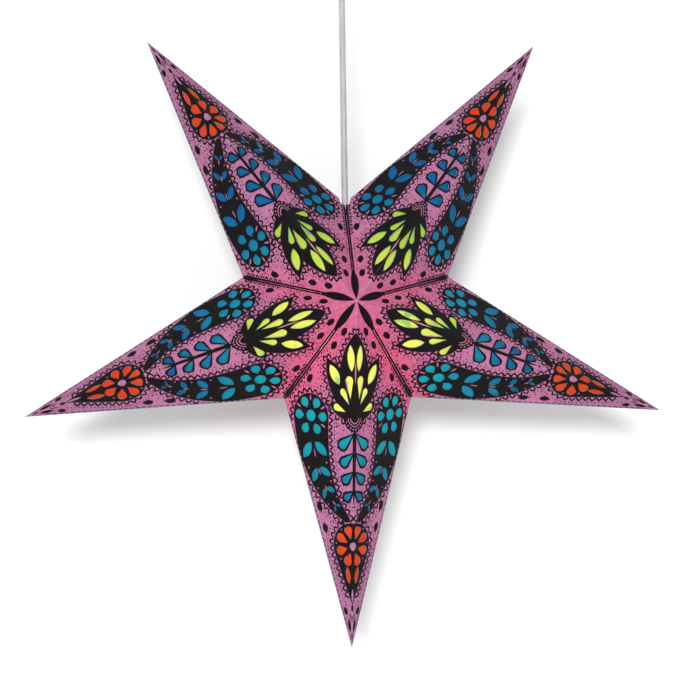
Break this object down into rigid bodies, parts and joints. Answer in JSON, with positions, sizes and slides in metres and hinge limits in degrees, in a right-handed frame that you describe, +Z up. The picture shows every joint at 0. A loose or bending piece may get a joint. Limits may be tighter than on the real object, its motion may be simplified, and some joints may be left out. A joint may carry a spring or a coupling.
{
  "type": "paper star lantern",
  "caption": "Hanging star lantern of folded, printed paper with tissue-backed windows, lit by a bulb on a pendant cable from a ceiling rose.",
  "frame": {"origin": "middle of the ceiling rose's top face, where it meets the ceiling; the star hangs below it and its centre is at z = -0.372 m", "axes": "+Z up into the ceiling, along the hanging cable; -Y is the front, where the front peak points; +X is the viewer's right, across the star"},
  "size_m": [0.5992, 0.17, 0.687],
  "materials": {
    "printed_paper": "matte",
    "black_print": "matte",
    "orange_tissue": "matte",
    "blue_tissue": "matte",
    "yellow_tissue": "matte",
    "holder_plastic": "gloss",
    "socket_insert": "satin",
    "bulb_opal": "satin",
    "cable_sheath": "satin",
    "grip_plastic": "satin",
    "rose_plastic": "gloss",
    "terminal_plastic": "satin"
  },
  "bodies": {
    "root": {"point_top_right": "printed_paper", "print_top_right": "black_print", "point_right": "printed_paper", "print_right": "black_print", "point_bottom": "printed_paper", "print_bottom": "black_print", "point_left": "printed_paper", "print_left": "black_print", "point_top_left": "printed_paper", "print_top_left": "black_print", "tip_tissue_front_top_right": "orange_tissue", "tip_tissue_front_right": "orange_tissue", "tip_tissue_front_bottom": "orange_tissue", "tip_tissue_front_left": "orange_tissue", "tip_tissue_front_top_left": "orange_tissue", "feather_tissue_front_top_right": "blue_tissue", "feather_tissue_front_right": "blue_tissue", "feather_tissue_front_bottom": "blue_tissue", "feather_tissue_front_left": "blue_tissue", "feather_tissue_front_top_left": "blue_tissue", "lotus_tissue_front_top_right": "yellow_tissue", "lotus_tissue_front_right": "yellow_tissue", "lotus_tissue_front_bottom": "yellow_tissue", "lotus_tissue_front_left": "yellow_tissue", "lotus_tissue_front_top_left": "yellow_tissue", "tip_tissue_back_top_right": "orange_tissue", "tip_tissue_back_right": "orange_tissue", "tip_tissue_back_bottom": "orange_tissue", "tip_tissue_back_left": "orange_tissue", "tip_tissue_back_top_left": "orange_tissue", "feather_tissue_back_top_right": "blue_tissue", "feather_tissue_back_right": "blue_tissue", "feather_tissue_back_bottom": "blue_tissue", "feather_tissue_back_left": "blue_tissue", "feather_tissue_back_top_left": "blue_tissue", "lotus_tissue_back_top_right": "yellow_tissue", "lotus_tissue_back_right": "yellow_tissue", "lotus_tissue_back_bottom": "yellow_tissue", "lotus_tissue_back_left": "yellow_tissue", "lotus_tissue_back_top_left": "yellow_tissue", "holder_cap": "holder_plastic", "holder_shell": "holder_plastic", "holder_insert": "socket_insert", "bulb": "bulb_opal", "cable": "cable_sheath", "cord_grip": "grip_plastic", "rose_cover": "rose_plastic", "rose_plate": "rose_plastic", "terminal_block": "terminal_plastic"}
  },
  "joints": []
}
